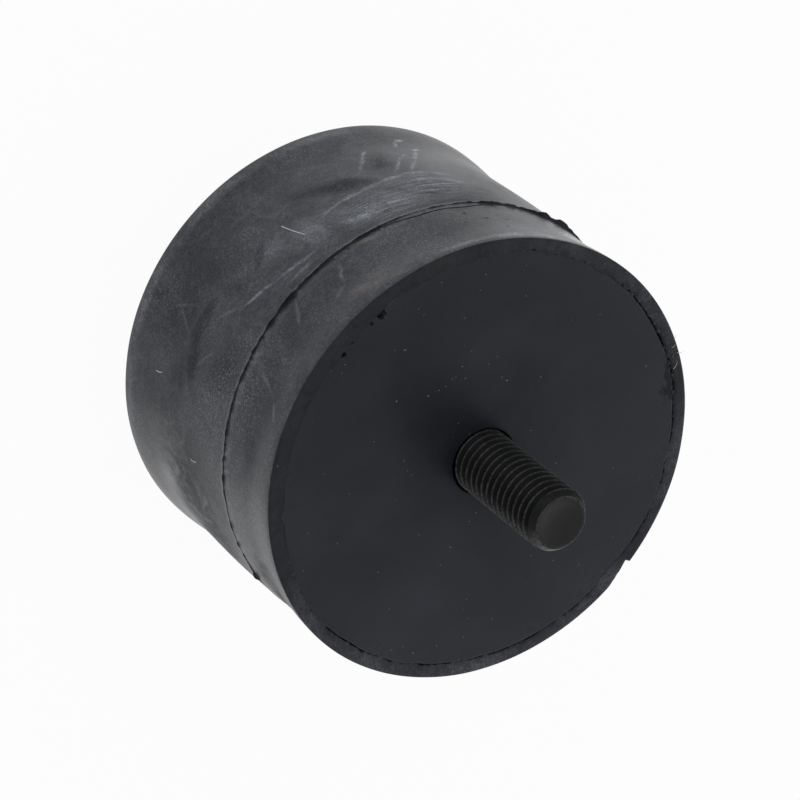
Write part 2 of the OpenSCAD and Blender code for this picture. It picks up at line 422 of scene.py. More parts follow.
def mouldedRubber():
    # carbon-black natural rubber pressed in a steel mould: dull black, with grey bloom and chalky scuffs
    look = rubberLook
    material, add, place, field = newMaterial("mouldedRubber", look)
    middle = add("VectorMath", {"operation": "SUBTRACT", 1: [look["wobble"] / 2] * 3}, [place])
    shifted = add("VectorMath", {"operation": "MULTIPLY_ADD", 1: [look["wobble"]] * 3},
                  {0: field["wobble"].outputs["Color"], 2: middle})
    mark = {name: strokeSum(add, shifted, look[name])
            for name in ("swept", "strokes", "smudgesAndShade", "speckled", "dusty", "polished")}

    # chalky strokes, painted rim highlights and wiped hairlines
    drifted = add("VectorMath", {"operation": "MULTIPLY_ADD", 1: (0, 0, 2 * look["wipeWander"])},
                  {0: field["drift"].outputs["Color"], 2: place})
    stretched = add("VectorMath", {**times, 1: [1 / length for length in look["wipe"]]}, [drifted])
    hairlines = add("TexNoise", look["wipeNoise"], {"Vector": stretched})
    wiped = add("MapRange", dict(zip(rangeEnds, look["wipeRange"])), {"Value": hairlines})
    patchy = add("Math", times, (wiped, field["chalk"]))
    swept = add("Math", times, (mark["swept"], patchy))
    chalky = add("Math", times, (field["chalk"], field["feathered"]))
    drawn = add("Math", times, (mark["strokes"], chalky))
    strokes = add("Math", plus, (swept, drawn))

    # bloom and speckle, which the lips' faces and torn edges lack
    denser = add("Math", plus, (field["patches"], mark["speckled"]))
    dotted = add("Math", times, (field["dots"], denser))
    hazy = add("Math", plus, (field["haze"], field["streaks"]))
    aged = add("Math", plus, (hazy, dotted))
    height = add("SeparateXYZ", None, [place]).outputs["Z"]
    fromMiddle = add("Math", {"operation": "SUBTRACT", 1: bodyHeight / 2}, [height])
    away = add("Math", {"operation": "ABSOLUTE"}, [fromMiddle])
    onTheSide = add("MapRange", {"From Min": bodyHeight / 2 - look["lipDepth"],
                                 "From Max": bodyHeight / 2 - 2 * look["lipDepth"]}, {"Value": away})
    torn, grime = (add("Attribute", {"attribute_name": name}).outputs["Fac"] for name in ("torn", "grime"))
    whole = add("Math", {"operation": "SUBTRACT", 0: 1.0, "use_clamp": True}, {1: torn})
    moulded = add("Math", times, (onTheSide, whole))
    bloomed = add("Math", times, (aged, moulded))
    pale = add("Math", {**plus, "use_clamp": True}, (bloomed, strokes))
    greyed = add("Mix", {"data_type": "RGBA", 6: srgb(look["black"]), 7: srgb(look["bloom"])}, [pale])
    dusty = add("Math", {**times, "use_clamp": True}, (mark["dusty"], field["chalk"]))
    color = add("Mix", {"data_type": "RGBA", 7: srgb(look["clay"])}, {0: dusty, 6: greyed.outputs[2]})

    # sheen: dull in smudges, painted shade, pinholes and grime, brighter where polished
    dullAndShaded = add("Math", {**times, "use_clamp": True}, (mark["smudgesAndShade"], field["uneven"]))
    scuffed = add("MapRange", dict(zip(newEnds, look["roughness"])), {"Value": pale})
    dulled = add("Math", {"operation": "MULTIPLY_ADD", 1: look["dullRoughness"]}, {0: dullAndShaded, 2: scuffed})
    rough = add("Math", {"operation": "MULTIPLY_ADD", 1: -look["polish"]}, {0: mark["polished"], 2: dulled})
    sheen = add("MapRange", dict(zip(newEnds, look["specular"])), {"Value": dullAndShaded})
    pinholes = scatteredDots(add, place, **look["pinholes"])
    filled = add("Math", {"operation": "MULTIPLY_ADD", 1: -look["pinholeDark"], 2: 1.0}, [pinholes])
    marked = add("Math", times, (field["mottle"], filled))
    sideSkin = add("Math", times, (sheen, marked))
    skin = add("Mix", None, {0: onTheSide, 2: field["lipSkin"], 3: sideSkin})
    rawSkin = add("Mix", {3: look["tornSpecular"]}, {0: torn, 2: skin})
    gloss = add("Mix", {3: look["grimeSpecular"]}, {0: grime, 2: rawSkin})

    fine = add("Bump", {"Distance": look["grainBump"]}, {"Height": field["grain"]})
    broad = add("Bump", {"Distance": look["swellBump"]}, {"Height": field["swell"], "Normal": fine})
    surface = add("BsdfPrincipled", {"Specular Tint": srgb(look["tint"])},
                  {"Base Color": color.outputs[2], "Roughness": rough, "Specular IOR Level": gloss, "Normal": broad})
    add("OutputMaterial", None, {"Surface": surface})
    return material


coatLook = {
    "black": "#14161a", "worn": "#222429", "dirt": "#121316", "dust": "#76787d", "tint": "#eceffe",
    "specular": (0.56, 0.5),  # where it is clean and where it is dirty
    "stainSpecular": 0.3, "grainBump": 0.02 * mm,
    # noise and the shares taken from it, written as the rubber's are
    "waves": {"cloud": (15 * mm, 4, 0.55, 0), "grain": (0.5 * mm, 3, 0.6, 0), "blotch": (1.1 * mm, 4, 0.65, 0)},
    "shares": {"rub": ("cloud", 0.4, 0.75), "patchy": ("blotch", 0.52, 0.72), "rough": ("grain", 0, 1, 0.4, 0.5)},
    "specks": {"spacing": 1.6 * mm, "radius": 0.1 * mm, "share": 0.3},
    "dirtRange": (29.5 * mm, 32.6 * mm),  # dirt gathers between these radii
    "stains": [(315, 0, 335, 0, 1.5, 1)],  # dark patches by the rim, written as the rubber's strokes are
    "stainRange": (0.8, 0.95),
    # painted shade of the stud: the sheen is lowered towards +Y and towards the middle, from one place to another,
    # with the shares of the sheen left there
    "shadeAcross": (-0.4 * plateRadius, 0.7 * plateRadius, 1, 0.84),
    "shadeRound": (8 * mm, 33 * mm, 0.69, 1),
}


def bondingCoat():
    # steel sprayed with black bonding coat: satin, nearly even, with dust specks, faint rubs and a painted shade of
    # the stud in its sheen
    look = coatLook
    material, add, place, field = newMaterial("bondingCoat", look)
    flat = add("VectorMath", {**times, 1: (1, 1, 0)}, [place])
    radius = add("VectorMath", {"operation": "LENGTH"}, [flat]).outputs["Value"]
    across = add("SeparateXYZ", None, [place]).outputs["Y"]
    spread = add("Math", plus, (strokeSum(add, place, look["stains"]), field["blotch"]))
    nearRim, stain, side, middle = (
        add("MapRange", dict(zip(rangeEnds, look[name])), {"Value": value})
        for name, value in (("dirtRange", radius), ("stainRange", spread),
                            ("shadeAcross", across), ("shadeRound", radius)))
    soil = add("Math", times, (nearRim, field["patchy"]))
    dirt = add("Math", {"operation": "MAXIMUM"}, (soil, stain))
    specks = scatteredDots(add, place, **look["specks"])
    color = add("Mix", {"data_type": "RGBA", 6: srgb(look["black"]), 7: srgb(look["worn"])}, [field["rub"]])
    for name, share in (("dirt", dirt), ("dust", specks)):
        color = add("Mix", {"data_type": "RGBA", 7: srgb(look[name])}, {0: share, 6: color.outputs[2]})
    sheen = add("MapRange", dict(zip(newEnds, look["specular"])), {"Value": dirt})
    stained = add("Mix", {3: look["stainSpecular"]}, {0: stain, 2: sheen})
    # painted shade of the stud: less sheen near the middle and towards +Y
    studShade = add("Math", times, (middle, side))
    gloss = add("Math", times, (stained, studShade))
    bump = add("Bump", {"Distance": look["grainBump"]}, {"Height": field["grain"]})
    surface = add("BsdfPrincipled", {"Specular Tint": srgb(look["tint"])},
                  {"Base Color": color.outputs[2], "Roughness": field["rough"], "Specular IOR Level": gloss,
                   "Normal": bump})
    add("OutputMaterial", None, {"Surface": surface})
    return material


steelLook = {
    "black": "#0e0f10", "worn": "#3c3c3d", "tint": "#fdfdff",
    "roughness": (0.42, 0.26), "specular": (0.07, 0.4),  # in the roots and on the worn crests with their painted highlight
    "grainShare": (1, 0.2),  # on the thread and on the smooth dish
    "dishShare": 0.85,
    "grainBump": 0.01 * mm,
    "waves": {"grain": (0.35 * mm, 4, 0.65, 0)},
    "shares": {"broken": ("grain", 0.38, 0.62, 0.2, 1)},
}


def phosphatedSteel():
    # rolled thread in black phosphated steel: near black in the roots, rubbed grey along the crests, partly as a
    # painted highlight that is lightest along one side and round the tip's rim
    look = steelLook
    material, add, place, field = newMaterial("phosphatedSteel", look)
    crest, smooth = (add("Attribute", {"attribute_name": name}).outputs["Fac"] for name in ("crest", "smooth"))
    worn = add("Mix", {3: look["dishShare"]}, {0: smooth, 2: field["broken"]})
    wearAndHighlight = add("Math", times, (crest, worn))
    color = add("Mix", {"data_type": "RGBA", 6: srgb(look["black"]), 7: srgb(look["worn"])}, [wearAndHighlight])
    gloss = add("MapRange", dict(zip(newEnds, look["specular"])), {"Value": wearAndHighlight})
    rough = add("MapRange", dict(zip(newEnds, look["roughness"])), {"Value": wearAndHighlight})
    coarse = add("MapRange", dict(zip(newEnds, look["grainShare"])), {"Value": smooth})
    bump = add("Bump", {"Distance": look["grainBump"]}, {"Height": field["grain"], "Strength": coarse})
    surface = add("BsdfPrincipled", {"Specular Tint": srgb(look["tint"])},
                  {"Base Color": color.outputs[2], "Specular IOR Level": gloss, "Roughness": rough, "Normal": bump})
    add("OutputMaterial", None, {"Surface": surface})
    return material


lintLook = {
    "light": "#d9dadb", "dark": "#9c9d9f", "roughness": 0.8, "specular": 0.2,
    "waves": {"patch": (0.6 * mm, 2, 0.5, 0)},
    "shares": {"mixed": ("patch", 0, 1)},
}
dustLook = {
    "light": "#75777b", "dark": "#2c2d31", "roughness": 0.9, "specular": 0.2,
    "waves": {"patch": (1.5 * mm, 1, 0.5, 0)},
    "shares": {"mixed": ("patch", 0.38, 0.58)},
}


def looseBits(name, look):
    # stray cotton fibres are matte and pale, uneven along their length, and workshop dust is matte grey grains
    material, add, place, field = newMaterial(name, look)
    color = add("Mix", {"data_type": "RGBA", 6: srgb(look["light"]), 7: srgb(look["dark"])}, [field["mixed"]])
    surface = add("BsdfPrincipled", {"Roughness": look["roughness"], "Specular IOR Level": look["specular"]},
                  {"Base Color": color.outputs[2]})
    add("OutputMaterial", None, {"Surface": surface})
    return material


# rubber body: one moulding with lips, waisted side, ragged flash and a torn front lip

rubberBody = {
    "roundSteps": 900, "sideSpacing": 1.0 * mm, "waistDip": 0.55 * mm, "waistFromFace": 8 * mm,
    "bellyDip": 0.22 * mm, "edgeRound": 0.14 * mm, "edgeSteps": 4,
    "flatRows": (0.5 * mm, 0.9 * mm, 1.3 * mm),  # inwards from the lip's outer edge
    # the crack between lip and plate: distance outside the plate's edge and depth below the face, in mm
    "seamRows": ((0.36, 0), (0.25, 0.03), (0.2, 0.14), (0.12, 0.45), (0.03, 0.7), (0, 1.2)),
    "seamWidth": 0.4 * mm,  # all of it lies within this width and depth
    "seamDepth": 2 * mm,
    "tornFrom": 0.1 * mm,  # raw rubber from this depth
    # where rubber has crept over the plate's edge, the same rows lie here
    "crept": ((0.1, -0.01), (-0.14, -0.025), (-0.34, -0.02), (-0.42, 0.04), (-0.1, 0.7), (0, 1.2)),
    # how closed the crack is: angle and share, between which it changes evenly
    "closed": ((0, 0.43), (20, 0.54), (50, 0.62), (85, 0.84), (100, 1), (125, 1), (148, 0.85), (160, 0.5), (170, 0.36),
               (185, 0.32), (250, 0.28), (263, 0.3), (266, 1.1), (272, 1.1), (275, 0.4), (300, 0.42), (320, 0.32),
               (345, 0.34), (360, 0.43)),
    # noise round the rim: strength, length of one wave in mm, seed
    "closedWaves": ((0.4, 2.6, 61), (0.36, 0.8, 63)),
    "closedContrast": 2,
    # the crack's width: as drawn, then least and further width in mm with the noise's rise, and the share of them kept
    "seamGap": 0.2 * mm, "gapLeast": 0.14,
    "gapWaves": ((0.2, 9, 11, 0.2), (0.16, 1.0, 14, 0)),
    "gapShare": 0.8,
    "gapHumps": ((335, 0.4, 40), (250, 0.3, 30)),
    # how deep it is: the share left where it is filled
    "fillMiddle": 0.6,
    "fillWaves": ((0.6, 4, 19),),
    "fillLeast": 0.2,
    # how far the lip creeps over the plate's edge, as shares of the most
    "creepMiddle": 0.3,
    "creepWaves": ((0.8, 15, 51), (0.35, 3.5, 53)),
    "creepMost": 0.6 * mm,
    # share of grime on the same rows where the crack is open and where it is closed, and along it
    "grimeRows": ((0.65, 0), (1, 0.15), (1, 0.75), (1, 1), (0, 1), (0, 0)),
    "grimeMiddle": 0.55,
    "grimeWaves": ((0.9, 5, 71), (0.6, 1.1, 73)),
    "grimeHumps": ((330, 0.5, 55),),
    "grimeLeast": 0.35, "swellHeight": 0.04 * mm, "swellSpan": 9 * mm,
    "swellSunk": 0.6,  # the swell stays this share below the side
    "lipRipple": 0.03 * mm, "lipRippleSpan": 2.5 * mm,
    "edgeRipple": ((1, 0.9, 29),),
    "edgeSunk": 0.6,
}
flash = {
    "fromFront": 15.1 * mm,
    # offset along the axis in mm and share of the height, from the rear to the front, with a groove before the flash
    "rows": ((-0.9, 0), (-0.36, 0), (-0.2, 0.4), (-0.1, 0.88), (-0.02, 1), (0.06, 0.97), (0.1, 0.5), (0.12, 0),
             (0.14, 0), (0.16, -0.1), (0.22, -0.1), (0.3, 0), (2.2, 0)),
    "grooveFrom": 0.13 * mm, "clearance": 0.4 * mm,
    "unit": 0.4 * mm,  # height before it is made ragged
    "height": 0.21 * mm,
    "raggedWaves": ((0.08, 11, 3), (0.2, 1.5, 5), (0.1, 0.6, 7)),
    "least": 0.03 * mm, "most": 1.0 * mm,
    "wanderWaves": ((0.2, 6, 43),),
    "leanWaves": ((0.3, 3, 47),),  # how far the flash leans over, as a share of its height
    # taller and lower stretches, torn tongues: angle, extra height in mm, half width
    "tongues": ((13.2, 0.2, 2), (6.8, 0.38, 2.6), (9, 0.3, 10), (24, 0.1, 16), (84, 0.1, 14), (67, 0.08, 6),
                (48, -0.09, 18), (112, -0.09, 16), (145, -0.2, 8), (131, -0.08, 8), (158, -0.14, 10), (168, 0.3, 1.6),
                (180, -0.4, 12), (103.6, 0.25, 1.2)),
    "crack": ((43, 1, 20),),  # the groove opens and stands off the flash near this angle
    "crackOpening": 2, "crackOff": 0.85 * mm, "crackMiddle": 0.9,
    "crackWaves": ((0.6, 4, 49),),
    "openingWaves": ((2.5, 3, 41),),
}
tear = {
    "steepEnd": 274, "sweep": 9, "cut": 0.85 * mm,
    "raggedWaves": ((0.15, 1.2, 31),),
    "height": 2.2 * mm,
    "drop": 0.12 * mm,  # how far the face sags beside the tear, over this width and depth
    "dropWidth": 0.3 * mm, "dropDepth": 0.4 * mm,
}


def sideRadius(height):
    spec = rubberBody
    depth = min(height, bodyHeight - height)
    if depth < spec["waistFromFace"]:
        return lipRadius - spec["waistDip"] * ease(depth / spec["waistFromFace"])
    rise = spec["waistDip"] - spec["bellyDip"]
    share = (depth - spec["waistFromFace"]) / (bodyHeight / 2 - spec["waistFromFace"])
    return lipRadius - spec["waistDip"] + rise * ease(share)


def rubberProfile():
    spec = rubberBody
    end = [(0, plateThick + headThick), (headRadius, plateThick + headThick), (headRadius, plateThick),
           (plateRadius, plateThick)]
    end += [(plateRadius + out * mm, depth * mm) for out, depth in reversed(spec["seamRows"])]
    end += [(lipRadius - inset, 0) for inset in reversed(spec["flatRows"])]
    end += [(lipRadius - inset, depth) for inset, depth in quarterRound(spec["edgeRound"], spec["edgeSteps"])]
    flashHeight = bodyHeight - flash["fromFront"]
    clear = flash["rows"][-1][0] * mm + flash["clearance"]
    rows = int((bodyHeight - 2 * spec["edgeRound"]) / spec["sideSpacing"])
    side = []
    for i in range(1, rows):
        height = spec["edgeRound"] + (bodyHeight - 2 * spec["edgeRound"]) * i / rows
        if abs(height - flashHeight) > clear:
            side.append((sideRadius(height), height))
    for offset, share in flash["rows"]:
        height = flashHeight + offset * mm
        side.append((sideRadius(height) + flash["unit"] * share, height))
    side.sort(key=lambda point: point[1])
    front = [(radius, bodyHeight - height) for radius, height in reversed(end)]
    return end + side + front


def flashHeightAt(angle):
    varied = ringWaves(angle, flash["raggedWaves"]) + ringHumps(angle, flash["tongues"])
    return clamp(flash["height"] + varied * mm, flash["least"], flash["most"])


def tearDepthAt(angle):
    along = turnFrom(angle, tear["steepEnd"] - tear["sweep"]) / tear["sweep"]
    if not 0 < along < 1:
        return 0.0
    return tear["cut"] * along * (1 + ringWaves(angle, tear["raggedWaves"]))


def creepAt(angle):  # how far the lip creeps over the plate's edge
    return rubberBody["creepMost"] * clamp(rubberBody["creepMiddle"] + ringWaves(angle, rubberBody["creepWaves"]))


def seamGapAt(angle):
    gap = rubberBody["gapLeast"]
    for most, span, seed, rise in rubberBody["gapWaves"]:
        gap += most * max(0, ringNoise(angle, span * mm, seed) + rise)
    return gap * mm * (rubberBody["gapShare"] + ringHumps(angle, rubberBody["gapHumps"]))


def seamClosedAt(angle):  # 0 where the crack is open, 1 where rubber covers it
    turn = math.degrees(angle) % 360
    share = 0.0
    for (startTurn, startShare), (endTurn, endShare) in zip(rubberBody["closed"], rubberBody["closed"][1:]):
        if startTurn <= turn <= endTurn:
            share = startShare + (endShare - startShare) * (turn - startTurn) / (endTurn - startTurn)
    share += ringWaves(angle, rubberBody["closedWaves"])
    return clamp(0.5 + rubberBody["closedContrast"] * (share - 0.5))


def roomAt(angle):  # radius at which the solids' box ends in a direction
    across, along = math.cos(angle), math.sin(angle)
    wide = (cadHigh.x if across > 0 else cadLow.x) / across if abs(across) > slight else 1
    deep = (cadHigh.y if along > 0 else cadLow.y) / along if abs(along) > slight else 1
    return min(wide, deep)


def seamPoint(angle, radius, depth):  # where a point of the lip's edge along the crack goes, how torn and grimy it is
    spec = rubberBody
    row = min(range(len(spec["seamRows"])), key=lambda i: abs(spec["seamRows"][i][1] * mm - depth))
    closed = seamClosedAt(angle)
    torn = min(1.0, depth / spec["tornFrom"]) * (1 - closed)
    soiled = spec["grimeMiddle"] + ringWaves(angle, spec["grimeWaves"]) + ringHumps(angle, spec["grimeHumps"])
    openGrime, closedGrime = spec["grimeRows"][row]
    grime = clamp(soiled, spec["grimeLeast"]) * (openGrime + (closedGrime - openGrime) * closed)
    follow = min(1.0, (radius - plateRadius) / spec["seamGap"])
    openRadius = radius + (seamGapAt(angle) - spec["seamGap"]) * follow
    fill = clamp(spec["fillMiddle"] + ringWaves(angle, spec["fillWaves"]), spec["fillLeast"])
    openDepth = depth * (1 + (fill - 1) * follow)
    openDepth += spec["lipRipple"] * (spec["edgeSunk"] + ringWaves(angle, spec["edgeRipple"])) * follow
    creptOut, creptDepth = (size * mm for size in spec["crept"][row])
    newRadius = openRadius + (plateRadius + creptOut - openRadius) * closed - creepAt(angle) * (1 - depth / plateThick)
    return newRadius, openDepth + (creptDepth - openDepth) * closed, torn, grime


def flashPoint(angle, radius, height):  # the same for a point of the flash or of the groove beside it
    base = sideRadius(height)
    offset = height - (bodyHeight - flash["fromFront"])
    share = (radius - base) / flash["unit"]
    tall = flashHeightAt(angle)
    apart = ringHumps(angle, flash["crack"])
    inGroove = share < -slight
    if inGroove:
        opening = 1 + max(0, ringWaves(angle, flash["openingWaves"])) + flash["crackOpening"] * apart
        radius = base + flash["unit"] * share * opening
    else:
        radius = min(base + tall * share, roomAt(angle))
    height += ringWaves(angle, flash["wanderWaves"]) * mm + tall * max(share, 0) * ringWaves(angle, flash["leanWaves"])
    if offset > flash["grooveFrom"]:
        off = flash["crackOff"] * (flash["crackMiddle"] + ringWaves(angle, flash["crackWaves"]))
        height += (off + offset) * apart
    return radius, height, float(abs(share) > slight), float(inGroove)


def shapeRubber(shape):
    spec = rubberBody
    torn = shape.verts.layers.float.new("torn")
    grime = shape.verts.layers.float.new("grime")
    flashHeight = bodyHeight - flash["fromFront"]
    flashReach = flash["rows"][-2][0] * mm + near
    for vert in shape.verts:
        angle = math.atan2(vert.co.y, vert.co.x)
        radius = math.hypot(vert.co.x, vert.co.y)
        height = vert.co.z
        isFront = height > bodyHeight / 2
        depth = bodyHeight - height if isFront else height
        inward = -1 if isFront else 1
        isDeep = depth > spec["seamDepth"]
        if radius < plateRadius - near or (radius < plateRadius + near and isDeep):
            continue
        if radius < plateRadius + spec["seamWidth"] and not isDeep:
            endAngle = angle if isFront else -angle  # the rear end is the front end turned over
            radius, newDepth, vert[torn], vert[grime] = seamPoint(endAngle, radius, depth)
            height += inward * (newDepth - depth)
        elif abs(height - flashHeight) < flashReach:
            radius, height, vert[torn], vert[grime] = flashPoint(angle, radius, height)
        else:
            place = Vector(vert.co)
            if depth < 2 * near:
                height += inward * spec["lipRipple"] * (0.5 + 0.5 * noise.noise(place / spec["lipRippleSpan"]))
            radius += spec["swellHeight"] * (noise.noise(place / spec["swellSpan"]) - spec["swellSunk"])
        if isFront and depth < tear["height"]:
            limit = lipRadius - tearDepthAt(angle) * (1 - (depth / tear["height"]) ** 2)
            if radius > limit:
                height -= tear["drop"] * min(1.0, (radius - limit) / tear["dropWidth"]) * (depth < tear["dropDepth"])
                radius = limit
        vert.co = onCircle(radius, angle, height)


# end plates: discs with a rounded rim and a clear hole round the stud

endPlate = {
    "roundSteps": 1080, "holeRadius": 5.25 * mm,
    "holeShift": Vector((0.27 * mm, -0.3 * mm, 0)),
    "shiftReach": 10 * mm, "holeRound": 0.15 * mm, "rimRound": 0.2 * mm, "roundingSteps": 3,
    "innerRows": 10, "fineFrom": 31.2 * mm, "fineStep": 0.17 * mm,
    # pits in the front coat: radius in mm and angle of the place, half width and depth in mm
    "pits": ((32.3, 76.9, 0.75, 0.9), (32.3, 80.4, 0.3, 0.5), (32.5, 87.3, 0.28, 0.4), (32.2, 91.1, 0.38, 0.6)),
    "pitLeast": 0.1 * mm, "pitRagged": 0.45, "pitSpan": 0.5 * mm,
}


def plateProfile():
    spec = endPlate
    hole, rim = spec["holeRadius"], plateRadius
    face = bodyHeight
    back = face - plateThick
    steps = spec["roundingSteps"]
    points = [(hole, back)]
    points += [(hole + inset, face - depth) for depth, inset in quarterRound(spec["holeRound"], steps)]
    start, rows = points[-1][0], spec["innerRows"]
    points += [(start + (spec["fineFrom"] - start) * i / rows, face) for i in range(1, rows + 1)]
    radius = spec["fineFrom"] + spec["fineStep"]
    while radius < rim - spec["rimRound"]:
        points.append((radius, face))
        radius += spec["fineStep"]
    points += [(rim - inset, face - depth) for inset, depth in quarterRound(spec["rimRound"], steps)]
    return points + [(rim, back)]


def shapePlate(shape):
    fine = endPlate["fineFrom"]
    for vert in shape.verts:
        radius = math.hypot(vert.co.x, vert.co.y)
        vert.co += endPlate["holeShift"] * max(0, 1 - (radius - endPlate["holeRadius"]) / endPlate["shiftReach"])
        if vert.co.z < bodyHeight - endPlate["rimRound"] - near or radius < fine:
            continue
        angle = math.atan2(vert.co.y, vert.co.x)
        scale = 1 - creepAt(angle) * ease((radius - fine) / (plateRadius - fine)) / radius
        vert.co.x *= scale
        vert.co.y *= scale


def sinkPits(shape):
    for vert in shape.verts:
        if vert.co.z < bodyHeight - endPlate["rimRound"] or math.hypot(vert.co.x, vert.co.y) < endPlate["fineFrom"]:
            continue
        for radius, degrees, half, deep in endPlate["pits"]:
            away = (vert.co - onCircle(radius * mm, math.radians(degrees))).xy.length
            wave = noise.noise(Vector((vert.co.x, vert.co.y, radius * mm)) / endPlate["pitSpan"])
            ragged = half * mm * (1 + endPlate["pitRagged"] * wave)
            vert.co.z -= deep * mm * min(1.0, 2 * hump(away, max(ragged, endPlate["pitLeast"])))


# studs: rolled thread, chamfered and dished tip, undercut neck in the plate and a round head behind it

stud = {
    "pitch": 1.5 * mm, "turnSteps": 96, "weld": 0.002 * mm, "sharpAngle": 30,
    # one pitch of the thread: distance along it and radius
    "ridge": ((0, 4.1), (0.1, 4.11), (0.16, 4.16), (0.52, 4.723), (0.62, 4.88), (0.68, 4.95), (0.75, 4.965),
              (0.82, 4.95), (0.88, 4.88), (0.98, 4.723), (1.34, 4.16), (1.4, 4.11), (1.5, 4.1)),
    "radius": 5 * mm, "chamfer": 0.95 * mm, "rim": 0.4 * mm, "dishDepth": 0.5 * mm, "dishRings": 7,
    "neckRadius": 4 * mm,
    "threadStart": 0.3 * mm,  # how far the thread runs into the plate's hole
    "crestWear": 0.07 * mm,  # nicks from a radius outwards, and the length of their noise
    "wornFrom": 4.9 * mm, "wearSpan": 0.9 * mm,
    "crestFrom": 4.74 * mm,  # rubbed and painted highlight from this radius outwards
    # painted highlight on a thin ring round the tip's outer rim, rimWidth wide
    "crestFull": 4.96 * mm, "tipRub": 0.12, "dishRub": 0.42, "rimHighlight": 0.8, "rimWidth": 0.13 * mm,
    # the thread is lighter along one side, partly scraped and partly a painted highlight, and its crests are lightest
    # there
    "scrapeAndHighlightAt": 184, "scrapeAndHighlightHalf": 52, "scrapeAndHighlight": 0.75, "scrapeAndHighlightAtFace": 0.4, "crestRub": 0.78, "crestHighlightSwing": 0.26,
    "offCentre": (0.27 * mm, -0.20 * mm),  # the thread stands a little off the middle of its hole
}


def ringsOut(shape, loop, rings):  # extrudes an open loop to circles at radii and heights
    for radius, height in rings:
        grown = bmesh.ops.extrude_edge_only(shape, edges=loop)["geom"]
        for vert in onlyVerts(grown):
            vert.co = onCircle(radius, math.atan2(vert.co.y, vert.co.x), height)
        loop = [item for item in grown if isinstance(item, bmesh.types.BMEdge)]
    return loop


def markLoop(loop, layer, value):
    for vert in {vert for edge in loop for vert in edge.verts}:
        vert[layer] = value


def edgesAt(shape, height):
    return [edge for edge in shape.edges
            if edge.is_boundary and all(abs(vert.co.z - height) < 10 * fused for vert in edge.verts)]


def makeStud():
    spec = stud
    face, tip = bodyHeight, bodyHeight + studLength
    low = face - spec["threadStart"]
    turns = math.ceil((tip - low) / spec["pitch"]) + 2
    start = low - 1.5 * spec["pitch"]
    ridge = [(radius * mm, start + along * mm) for along, radius in spec["ridge"]]
    shape, turn = spinPoints(ridge, 2 * math.pi, spec["turnSteps"], spec["pitch"])
    for i in range(1, turns):
        copied = bmesh.ops.duplicate(shape, geom=turn)["geom"]
        bmesh.ops.translate(shape, verts=onlyVerts(copied), vec=(0, 0, spec["pitch"] * i))
    bmesh.ops.remove_doubles(shape, verts=shape.verts, dist=spec["weld"])
    chamferFrom = tip - spec["chamfer"]
    crest = shape.verts.layers.float.new("crest")
    smooth = shape.verts.layers.float.new("smooth")
    for vert in shape.verts:
        radius = math.hypot(vert.co.x, vert.co.y)
        angle = math.atan2(vert.co.y, vert.co.x)
        wearAndHighlight = clamp((radius - spec["crestFrom"]) / (spec["crestFull"] - spec["crestFrom"]))
        # crests lighter towards -X, the side of the painted highlight
        wearAndHighlight *= spec["crestRub"] - spec["crestHighlightSwing"] * math.cos(angle)
        if vert.co.z > chamferFrom:
            wearAndHighlight = spec["tipRub"]
        # painted highlight along one side, partly scraped steel
        scrapedAndLit = hump(turnFrom(angle, spec["scrapeAndHighlightAt"]), spec["scrapeAndHighlightHalf"])
        towardsTip = spec["scrapeAndHighlightAtFace"] + (1 - spec["scrapeAndHighlightAtFace"]) * (vert.co.z - face) / studLength
        vert[crest] = min(1.0, wearAndHighlight + spec["scrapeAndHighlight"] * scrapedAndLit * towardsTip)
        worn = radius
        if radius > spec["wornFrom"]:
            worn -= spec["crestWear"] * max(0, noise.noise(vert.co / spec["wearSpan"]))
        limit = spec["radius"] - max(0, vert.co.z - chamferFrom)
        scale = min(worn, max(limit, spec["radius"] - spec["chamfer"])) / radius
        vert.co.x *= scale
        vert.co.y *= scale
    for height, keepBelow in ((tip, True), (low, False)):
        bmesh.ops.bisect_plane(shape, geom=allOf(shape), dist=fused, plane_co=(0, 0, height), plane_no=(0, 0, 1),
                               clear_outer=keepBelow, clear_inner=not keepBelow)
    bmesh.ops.remove_doubles(shape, verts=shape.verts, dist=spec["weld"])

    dishRadius = spec["radius"] - spec["chamfer"] - spec["rim"]
    ball = (dishRadius ** 2 + spec["dishDepth"] ** 2) / (2 * spec["dishDepth"])
    loop = edgesAt(shape, tip)
    # painted highlight on the tip's outer rim
    markLoop(loop, crest, spec["rimHighlight"])
    loop = ringsOut(shape, loop, [(dishRadius + spec["rim"] - spec["rimWidth"], tip), (dishRadius, tip)])
    markLoop(loop, crest, spec["dishRub"])
    markLoop(loop, smooth, 1.0)
    radii = [dishRadius * (1 - i / spec["dishRings"]) for i in range(1, spec["dishRings"])]
    dish = [(radius, tip + ball - spec["dishDepth"] - math.sqrt(ball ** 2 - radius ** 2)) for radius in radii]
    bmesh.ops.holes_fill(shape, edges=ringsOut(shape, loop, dish))
    bmesh.ops.translate(shape, verts=shape.verts, vec=(*spec["offCentre"], 0))
    plateBack = face - plateThick
    behind = [(spec["neckRadius"], low), (spec["neckRadius"], plateBack), (headRadius, plateBack),
              (headRadius, plateBack - headThick)]
    bmesh.ops.holes_fill(shape, edges=ringsOut(shape, edgesAt(shape, low), behind))
    bmesh.ops.recalc_face_normals(shape, faces=shape.faces)
    return shape


def turnToRear(shape):  # the rear end is the front end turned over about X
    bmesh.ops.rotate(shape, verts=shape.verts, cent=(0, 0, bodyHeight / 2), matrix=Matrix.Rotation(math.pi, 3, "X"))


# stray bits: lint on the side and rim, dust on the front plate, torn crumbs along the crack

